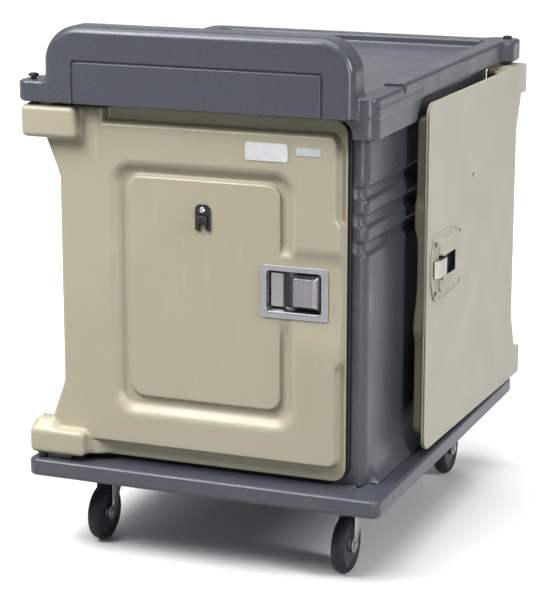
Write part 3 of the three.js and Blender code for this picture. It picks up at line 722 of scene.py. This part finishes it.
def gussets(x, z):
    """The plates that widen towards the knuckles."""
    upper = convex(x, z, [(-331, 855), (-300, 855), (-300, 1008), (-364, 1008), (-364, 938)], 5)
    lower = convex(x, z, [(-364, 231), (-300, 231), (-300, 395), (-331, 395), (-364, 305)], 5)
    return np.minimum(upper, lower)


def door_outline(x, z):
    return join(rect(x, z, -331, 231, 315, 1008, 30), gussets(x, z), 10)


def door_frame(x, out, z):
    """The raised face with its sloped sides, its bulge beside the latch, and its panel."""
    plan = rect(x, z, -331, 268, 298, 973, 15)
    plan = join(plan, both(gussets(x, z), between(z, 262, 979)), 6)
    bulge = convex(x, z, [(250, 470), (298, 483), (309, 497), (309, 787), (298, 801), (250, 814)], 3)
    plan = join(plan, bulge, 8)
    face = both(plan + (out - FACE) * 0.22, out - FACE, 5)
    ring = both(rect(x, z, -209, 339, 209, 892, 47) + (FACE - out) * 1.1, CHANNEL - out, 6)
    face = cut(face, ring, 8)
    panel = both(rect(x, z, -173, 378, 173, 863, 30) + (out - PANEL) * 0.35, out - PANEL, 4)
    face = join(face, both(panel, between(out, SHELL_BACK, 500)), 5)

    above = beyond(z, out, (713, PANEL), (732, CHANNEL))
    below = beyond(z, out, (531, CHANNEL), (576, PANEL))
    seat = both(both(-above, out - PANEL, 2), -below, 2)
    seat = both(seat, rect(x, out, 166, SHELL_BACK, 214, 500), 4)
    return join(face, seat, 5)


def latch_recess(x, out, z):
    """Room round the latch, with a sloped wall above and below."""
    above = beyond(z, out, (713, PANEL), (733, FACE))
    below = beyond(z, out, (531, FACE), (576, PANEL))
    left = beyond(x, out, (186, PANEL), (196, FACE))
    room = both(both(above, below, 5), PANEL - out, 5)
    return both(room, -left, 5)


def knuckles(x, out, z):
    depth = between(out, 440, 518)
    upper = both(rect(x, z, -407, 938, -279, 1008, 13), depth, 12)
    lower = rect(x, z, -407, 231, -275, 287, 12)
    hill = both(rect(x, z, -407, 231, -348, 306, 18), between(out, 453, 501), 15)
    lower = both(join(both(lower, depth, 12), hill, 16), rect(x, z, -407, 231, -275, 330, 12))
    return np.minimum(upper, both(lower, depth, 12))


def knuckle_ramp(x, out, z):
    """The face runs on beside each knuckle, then falls to the flange."""
    steep = beyond(x, out, (-231, FACE), (-222, FLANGE))
    gentle = beyond(x, out, (-262, FACE), (-222, FLANGE))
    fall = -np.where(z > 600, steep, gentle)
    run = both(both(door_outline(x, z) + 1, x + 216), fall, 6)
    return both(run, out - FACE, 8)


def door_shape(x, y, z):
    out = -y
    shell = both(door_outline(x, z), between(out, SHELL_BACK, FLANGE), 2.4)
    shell = join(shell, door_frame(x, out, z), 2)
    shell = join(shell, knuckle_ramp(x, out, z), 4)
    shell = join(shell, knuckles(x, out, z), 9)
    shell = cut(shell, latch_recess(x, out, z), 4)
    shell = cut(shell, rect(x, z, 141.7, 595.7, 267.3, 685.3, 4))
    bores = both(np.hypot(x - PIN_X, y - PIN_Y) - 8.3, np.minimum(z - 284, 947 - z))
    shell = cut(shell, bores)
    return both(shell, SHELL_BACK - out, 1.5)


def door_shells():
    across = [(-411, -255, 3), (-255, -163, 3), (160, 320, 2.5)]
    heights = [(228, 312, 3), (334, 430, 4), (478, 592, 3), (592, 690, 4), (690, 806, 3),
               (834, 896, 4), (930, 1012, 3)]
    mesh = surface("door_shell", door_shape, stations(-411, 320, 20, *across),
                   stations(-521, -453, 2.4), stations(228, 1012, 9, *heights))
    on_doors("door_shell", mesh, CREAM)

    skin = rounded_outline([(-403.5, 231.5, 6), (314.5, 231.5, 30), (314.5, 1007.5, 30),
                            (-403.5, 1007.5, 6), (-403.5, 938.5, 5), (-363.5, 938.5, 5),
                            (-330.5, 855, 12), (-330.5, 395, 12), (-363.5, 304.5, 5),
                            (-403.5, 304.5, 5)], 10)
    on_doors("door_skin", plate("door_skin", skin, 453, 456, 1.2), CREAM_SKIN)


# ---- latch

def latch_pan_mesh():
    """A pressed pan: flat lip, rounded shoulder and walls that lean in."""
    def rim(grow, radius):
        return box_outline(143.5 - grow, 597.5 - grow, 265.5 + grow, 683.5 + grow, radius, 6)
    lip = box_outline(130.5, 582.5, 281.5, 695.5, 7, 6)
    loops = [(rim(-1.5, 6), 460.2), (rim(1.2, 8), 461), (rim(1.2, 8), 478.4), (lip, 478.4),
             (shrunk(lip, -0.4), 479.2), (shrunk(lip, -0.4), 480.2), (shrunk(lip, 0.4), 481),
             (rim(2.6, 9.5), 481), (rim(1.2, 8.8), 480.6), (rim(0.3, 8), 479.5), (rim(-0.2, 8), 478),
             (rim(-4.2, 7), 464), (rim(-5.4, 6), 462.4), (rim(-7.5, 5), 461.8)]
    return lofted("latch_pan", facing_front(loops), 40)


def paddle_mesh():
    """A stamped paddle with broad bevels at its sides."""
    def step(left, low, right, high, radius):
        return box_outline(left, low, right, high, radius, 6)
    loops = [(step(193, 604.5, 258.5, 676.5, 3), 467), (step(191.5, 603, 260, 678, 4), 468),
             (step(191.5, 603, 260, 678, 4), 469.5), (step(192.3, 603.8, 259.3, 677.2, 4), 470.4),
             (step(203.5, 610.6, 248.5, 670.4, 2.5), 479.2), (step(204.6, 611.4, 247.4, 669.6, 2.5), 479.8),
             (step(206.5, 613, 245.5, 668, 2), 480)]
    return lofted("latch_paddle", facing_front(loops), 20)


def screw_mesh(name, radius, height):
    """A pan head with a cross recess, standing out along -Y from its seat."""
    def shape(x, y, z):
        out = -y
        bulge = radius * radius / (2 * height) + height / 2
        dome = np.sqrt(x * x + z * z + (out - height + bulge) ** 2) - bulge
        head = both(both(np.hypot(x, z) - radius, dome, 0.6), -out)
        arm = radius * 0.16
        reach = radius * 0.62
        cross = np.minimum(rect(x, z, -reach, -arm, reach, arm), rect(x, z, -arm, -reach, arm, reach))
        return cut(head, both(cross, height * 0.35 - out), 0.15)
    marks = stations(-radius - 0.6, radius + 0.6, radius / 13)
    return surface(name, shape, marks, stations(-height - 0.6, 0.6, height / 8), marks)


def hexagon(u, v, half, turn=0):
    """A hexagon of half its width across flats, turned by so many degrees."""
    shape = -half
    for angle in (math.radians(turn + 60 * k) for k in range(3)):
        shape = np.maximum(shape, np.abs(u * math.cos(angle) + v * math.sin(angle)) - half)
    return shape


def nut_mesh():
    """A washer, a nut and the end of its stud, standing out along -Y."""
    def shape(x, y, z):
        out = -y
        nut = both(both(hexagon(x, z, 5), np.hypot(x, z) - 5.6, 0.4), between(out, 0, 3.6), 0.3)
        washer = both(np.hypot(x, z) - 7, between(out, 0, 1.1), 0.3)
        stud = both(np.hypot(x, z) - 2.6, between(out, 0, 5), 0.8)
        return np.minimum(np.minimum(nut, washer), stud)
    marks = stations(-7.8, 7.8, 0.6)
    return surface("nut", shape, marks, stations(-5.8, 0.8, 0.5), marks)


def back_plate_shape(x, y, z):
    """The plate inside the door, with its housing, the slot for the bolt and cup washers."""
    out = -y
    sheet_plan = convex(x, z, [(87, 612), (133, 563), (270, 563), (294, 605), (294, 671), (270, 713),
                               (133, 713), (87, 664)], 7)
    part = both(sheet_plan, between(out, 451, 452.7), 0.6)
    bead = both(np.abs(sheet_plan + 2.5) - 1.8, between(out, 449, 452), 1.2)
    part = join(part, bead, 0.8)
    plateau = both(rect(x, z, 100, 580, 246, 696, 16), between(out, 445.5, 452.7), 2.5)
    housing = both(rect(x, z, 156, 609, 246, 671, 5), between(out, 438, 452.7), 2)
    part = join(part, join(plateau, housing, 3), 2)
    for across, up in PLATE_NUTS.values():
        boss = both(np.hypot(x - across, z - up) - 9, between(out, 448.6, 452), 0.8)
        part = join(part, boss, 1)
    slot = both(rect(x, z, 164, 617.6, 262, 664, 1), out - 449.4)
    return cut(part, slot, 0.8)


def bolt_mesh():
    """A bar with a sloped nose, from an outline in x and distance out, stacked in height."""
    outline = rounded_outline([(222, 438, 1), (269, 438, 2.5), (280, 446, 1.5), (280, 449, 0.8),
                               (222, 449, 0.8)], 4)
    stack = [(shrunk(outline, 1), 618), (outline, 619), (outline, 657), (shrunk(outline, 1), 658)]
    loops = [np.stack([shape[:, 0], -shape[:, 1], np.full(len(shape), height)], 1)
             for shape, height in stack]
    return lofted("latch_bolt", loops, 40)


def painted_slot_shade_mesh():
    """A black tray behind the bolt's slot: painted shade for the dark hollow inside the door."""
    inside = box_outline(164.8, 618.2, 245, 663.2, 0.6, 3)
    outside = shrunk(inside, -1.6)
    loops = [(inside, 449.2), (inside, 438.9), (outside, 438.9), (outside, 451)]
    return lofted("painted_slot_shade", facing_front(loops))


def latches():
    on_doors("latch_pan", latch_pan_mesh(), STAINLESS)
    well = plate("latch_well", box_outline(149, 604, 178, 678, 3, 5), 461, 467.8, 1.4)
    on_doors("latch_well", well, POLISHED, stands=False)
    on_doors("latch_paddle", paddle_mesh(), POLISHED, "paddle")
    back = surface("latch_back_plate", back_plate_shape,
                   stations(84, 297, 5, (84, 140, 2.5), (146, 170, 1.2), (250, 266, 1.2),
                            (266, 297, 2)),
                   stations(-454, -435, 0.8),
                   stations(560, 716, 5, (560, 602, 2), (612, 620, 0.8), (660, 668, 0.8),
                            (674, 716, 2)))
    on_doors("latch_back_plate", back, CREAM_SKIN)
    on_doors("latch_bolt", bolt_mesh(), BRIGHT, "bolt")
    # Black lining in the bolt's slot: painted shade for the hollow behind the bolt.
    on_doors("latch_hole_shade", painted_slot_shade_mesh(), BLACK, stands=False)
    # A black sheet at the back of the gap between the well and the paddle: painted shade for the dark gap.
    gap = plate("latch_gap_shade", box_outline(179, 603, 190.5, 679, 1, 3), 461, 462.6, 0.3)
    on_doors("latch_gap_shade", gap, BLACK, stands=False)
    nut = nut_mesh()
    for label, (across, up) in PLATE_NUTS.items():
        on_doors(f"plate_nut_{label}", nut, POLISHED,
                 where=at(across, -448.8, up) @ END_TURN, stands=False)


# ---- menu clip and plates

def clip_base_shape(x, y, z):
    out = -y
    plan = rect(x, z, -17, 757, 17, 813, 12)
    plan = join(plan, rect(x, z, -17, 757, 17, 790, 1.5))
    base = both(plan, between(out, 478.3, 483), 1.2)
    legs = rect(x, z, -7, 740, 7, 770, 6)
    base = cut(base, legs, 0.8)
    across, up = CLIP_SCREW
    seat = both(np.hypot(x - across, z - up) - 10.5, between(out, 480, 484.2), 1)
    return both(join(base, seat, 1.5), out - 483)


def clip_lever_shape(x, y, z):
    """A sprung lever with a bar across its top and two prongs."""
    out = -y
    leaf = both(rect(x, z, -12, 763, 12, 789.5, 2.5), between(out, 483.4, 487), 1)
    bar = both(rect(x, z, -10, 783.5, 10, 789.5, 2.5), between(out, 484.4, 490), 2)
    notch = rect(x, z, -6.5, 750, 6.5, 775, 6)
    prongs = both(rect(np.abs(x), z, 7.5, 763, 11, 786, 1.5), between(out, 484, 489), 1.5)
    return join(cut(join(leaf, bar, 1.5), notch, 0.8), prongs, 1)


def clips():
    base = surface("clip_base", clip_base_shape, stations(-18.5, 18.5, 0.9),
                   stations(-484.5, -477, 0.5), stations(755, 815, 0.9))
    on_doors("clip_base", base, BLACK)
    lever = surface("clip_lever", clip_lever_shape, stations(-13.5, 13.5, 0.8),
                    stations(-491.5, -482.5, 0.5), stations(761, 791.5, 0.8))
    on_doors("clip_lever", lever, BLACK, "clip")
    across, up = CLIP_SCREW
    on_doors("clip_screw", screw_mesh("clip_screw", 6.9, 3.1), SCREW,
             where=at(across, -483.3, up))
    on_doors("clip_screw_end", nut_mesh(), SCREW,
             where=at(across, -453, up) @ END_TURN, stands=False)


def plates():
    """A blank name plate and a small metal plate, each held by two rivets."""
    white = plate("label_plate", box_outline(99, 916, 194, 954, 5, 6), FACE + 0.3, FACE + 1.6, 0.5)
    on_doors("label_plate", white, WHITE, doors=("front",))
    metal = plate("data_plate", box_outline(212, 932, 267, 949, 3, 5), FACE + 0.3, FACE + 1.3, 0.4)
    on_doors("data_plate", metal, ZINC, doors=("front",))
    rivet = turned("rivet", [(0, -0.4), (2.1, -0.4), (2.1, 0), (1.7, 0.7), (0.9, 1.1), (0, 1.2)], 20)
    outward = Matrix.Rotation(math.pi / 2, 4, "X")
    spots = [(103.5, 935, 1.6), (189.5, 935, 1.6), (216, 940.5, 1.3), (263, 940.5, 1.3)]
    for number, (across, up, thick) in enumerate(spots):
        on_doors(f"rivet_{number}", rivet, SCREW, where=at(across, -FACE - thick, up)
                 @ outward, stands=False, doors=("front",))


# ---- casters

def tyre_mesh():
    half = [(49, 12), (49.6, 14.2), (50.6, 15), (52.4, 15), (53, 14.2), (54, 14.2), (54.8, 15),
            (56.6, 14.5), (58.8, 13), (60.9, 10.4), (62.3, 7.2), (63, 4)]
    mirror = [(r, -h) for r, h in reversed(half)]
    return ring_turned("tyre", half + [(63.5, 0)] + mirror)


def hub_mesh():
    half = [(6.3, 16.5), (14.5, 16.5), (15.5, 15.6), (16, 14), (18.5, 11.6), (42, 11), (44.4, 11.6),
            (45.6, 14), (47.8, 14.4), (48.7, 13.6)]
    mirror = [(r, -h) for r, h in reversed(half)]
    return ring_turned("wheel_hub", half + mirror, 72)


def axle_mesh():
    """A bolt across the wheel, with a hexagonal head and a nut."""
    def shape(x, y, z):
        shaft = both(np.hypot(y, z) - 6, np.abs(x) - 24)
        heads = both(hexagon(y, z, 7.7, 12), np.hypot(y, z) - 8.6, 0.8)
        heads = both(heads, between(np.abs(x), 21.3, 25), 0.5)
        washer = both(np.hypot(y, z) - 9, between(np.abs(x), 21.3, 22.2), 0.3)
        return join(join(shaft, heads), washer)
    return surface("axle_bolt", shape, stations(-25.8, 25.8, 8, (-25.8, -20, 0.4), (20, 25.8, 0.4)),
                   stations(-10, 10, 0.7), stations(-10, 10, 0.7))


def fork_shape(shift, top):
    """A bent sheet: two legs that taper to the axle, with a pressed rib down each."""
    def shape(x, y, z):
        sheet_out = rect(x, z, -21, -200, 21, top, 7)
        sheet_in = rect(x, z, -18, -200, 18, top - 3.5, 4)
        bend = cut(sheet_out, sheet_in)
        leg = convex(y, z, [(-17, 0), (17, 0), (shift + 27, 66), (shift + 27, top + 5),
                            (shift - 27, top + 5), (shift - 27, 66)])
        leg = np.minimum(leg, np.hypot(y, z) - 17)
        bend = both(bend, leg, 0.9)
        lean = y - shift * np.clip(z / 66, 0, 1)
        rib = both(np.hypot(np.maximum(np.abs(lean) - 3, 0), np.maximum(np.abs(z - 36) - 16, 0)) - 4,
                   between(np.abs(x), 17.5, 22.2), 1)
        bend = join(bend, rib, 2)
        bend = both(bend, np.abs(x) - 22.4)
        wheel_room = both(np.abs(x) - 17.9, np.hypot(y, z) - 66)
        return cut(cut(bend, np.hypot(y, z) - 6.3), wheel_room)
    return shape


def casters():
    tyre, hub, axle = tyre_mesh(), hub_mesh(), axle_mesh()
    across = stations(-23.5, 23.5, 6, (-23.5, -16.5, 0.8), (16.5, 23.5, 0.8))
    swivel = surface("swivel_fork", fork_shape(30, 71.5), across, stations(-19, 59, 2),
                     stations(-19, 73, 2, (60, 73, 1)))
    fixed = surface("fixed_fork", fork_shape(0, 96.5), across, stations(-29, 29, 2),
                    stations(-19, 98, 2, (85, 98, 1)))
    race = turned("swivel_race", [(0, 70.5), (22, 70.5), (24, 71.5), (26, 73), (26, 84.6),
                  (25, 86), (0, 86)])
    race_top = turned("race_top", [(0, 150), (27, 150), (28, 151), (28, 158.6), (26, 160), (0, 160)])

    def bed_shape(x, y, z):
        return both(rect(x, y, -46, -54, 46, 54, 9), between(z, 160, 164.7), 1.2)
    bed = surface("caster_plate", bed_shape, stations(-48, 48, 12, (-48, -34, 2), (34, 48, 2)),
                  stations(-56, 56, 12, (-56, -42, 2), (42, 56, 2)), stations(158.6, 166, 0.8))
    for side, x in (("left", -CASTER_X), ("right", CASTER_X)):
        front, rear = at(x, FRONT_AXLE_Y, AXLE_Z), at(x, REAR_PLATE_Y, AXLE_Z)
        front_plate, rear_plate = at(x, FRONT_PLATE_Y, 0), at(x, REAR_PLATE_Y, 0)
        swivelling = f"front_{side}_caster"
        show(f"front_{side}_fork_look", swivel, ZINC, swivelling,
             [f"front_{side}_caster_fork"], front)
        show(f"front_{side}_race_look", race, ZINC, swivelling, (),
             at(x, FRONT_PLATE_Y, AXLE_Z))
        show(f"front_{side}_race_top_look", race_top, ZINC, "cart", (), front_plate)
        show(f"front_{side}_bed_look", bed, ZINC, "cart",
             [f"front_{side}_caster_plate"], front_plate)
        show(f"rear_{side}_fork_look", fixed, ZINC, "cart",
             [f"rear_{side}_caster_fork"], rear)
        show(f"rear_{side}_bed_look", bed, ZINC, "cart", (), rear_plate)
        for end, where, carrier in (("front", front, swivelling), ("rear", rear, "cart")):
            wheel = f"{end}_{side}_wheel"
            show(f"{wheel}_axle_look", axle, ZINC, carrier,
                 [f"{end}_{side}_axle_bolt"], where)
            show(f"{wheel}_tyre_look", tyre, TYRE, wheel, [f"{end}_{side}_tyre"], where)
            show(f"{wheel}_hub_look", hub, HUB, wheel, [f"{wheel}_hub"], where)


# ---- floor, light and camera

FLOOR_REACH = 30000
BACKDROP_RADIUS, BACKDROP_HEIGHT, BACKDROP_SIDES = 28000, 16000, 64


def surrounding(name, points, faces):
    """A pale piece of the surroundings, and the shader it takes."""
    piece = in_scene(name, mesh_of(name, points, faces))
    n = Nodes(f"pale {name}")
    preset(n.shader, {"Base Color": (0.9, 0.9, 0.9, 1)})
    piece.data.materials.append(n.material)
    return piece, n.shader


def floor():
    """A floor that takes the cart's shadow, but throws no light back up on the cart."""
    reach = FLOOR_REACH
    corners = [(-reach, -reach, 0), (reach, -reach, 0), (reach, reach, 0), (-reach, reach, 0)]
    piece, shader = surrounding("floor", corners, [(0, 1, 2, 3)])
    preset(shader, {"Roughness": 0.9, "Specular IOR Level": 0.0})
    piece.visible_diffuse = False


def backdrop():
    """A wide ring of wall that only the camera sees."""
    turns = [2 * math.pi * k / BACKDROP_SIDES for k in range(BACKDROP_SIDES)]
    points = [(BACKDROP_RADIUS * math.cos(turn), BACKDROP_RADIUS * math.sin(turn), level)
              for level in (0, BACKDROP_HEIGHT) for turn in turns]
    faces = []
    for k in range(BACKDROP_SIDES):
        after = (k + 1) % BACKDROP_SIDES
        faces.append((k, k + BACKDROP_SIDES, after + BACKDROP_SIDES, after))
    piece, shader = surrounding("backdrop", points, faces)
    preset(shader, {"Emission Color": (1, 1, 1, 1), "Emission Strength": 0.8})
    piece.visible_diffuse = piece.visible_glossy = piece.visible_shadow = False


def studio():
    world = bpy.data.worlds.new("studio")
    world.use_nodes = True
    preset(world.node_tree.nodes["Background"], {"Color": (1, 1, 1, 1), "Strength": 0.25})
    bpy.context.scene.world = world
    bpy.context.scene.view_settings.view_transform = "Standard"
    bpy.context.scene.view_settings.look = "Medium High Contrast"


def softbox(name, place, aim, width, height, power, diffuse=True, glossy=True):
    """A rectangular lamp, which may light the surfaces only, or only make highlights on them."""
    light = bpy.data.lights.new(name, "AREA")
    light.shape = "RECTANGLE"
    light.size, light.size_y = width, height
    light.energy = power
    lamp = in_scene(name, light)
    lamp.location = place
    lamp.visible_camera = False
    lamp.visible_diffuse = diffuse
    lamp.visible_glossy = glossy
    lamp.rotation_euler = (Vector(aim) - Vector(place)).to_track_quat("-Z", "Y").to_euler()


def lights():
    sky = bpy.data.lights.new("overhead", "SUN")
    sky.energy = 2.4
    sky.angle = math.radians(60)
    in_scene("overhead", sky).rotation_euler = (math.radians(9), 0, math.radians(-25))
    softbox("right", (4.0, -1.2, 2.6), (0.3, 0, 0.8), 1.0, 1.4, 86)
    softbox("key", (-1.6, -2.5, 3.3), (0, 0, 1.0), 1.5, 1.5, 104)
    softbox("right strip", (3.0, -3.3, 1.2), (0.3, -0.4, 0.9), 0.22, 2.6, 60, diffuse=False)
    softbox("fill", (-2.8, 4.2, 2.8), (0, 0, 0.6), 2.0, 2.0, 60, glossy=False)
    softbox("back", (-1.6, 4.6, 2.5), (0, 0, 1.2), 3.0, 1.8, 4)


def camera():
    """An eye-height lens, aimed down a little at the corner between the front and the right side."""
    data = bpy.data.cameras.new("camera")
    data.lens = 129.7
    data.sensor_width = 36
    eye = in_scene("camera", data)
    yaw, pitch = 0.3783, 0.2435
    eye.location = (1.7729, -4.5691, 1.7130)
    eye.rotation_euler = (math.pi / 2 - pitch, 0, yaw)
    bpy.context.scene.camera = eye


# ---- build

base_slab()
body_shell()
top_cover()
compartments()
gaskets()
strike_plates()
hinges()
door_shells()
latches()
clips()
plates()
casters()
for end in ("front", "rear"):
    recoat(f"{end}_door_foam", FOAM)
floor()
backdrop()
studio()
lights()
camera()
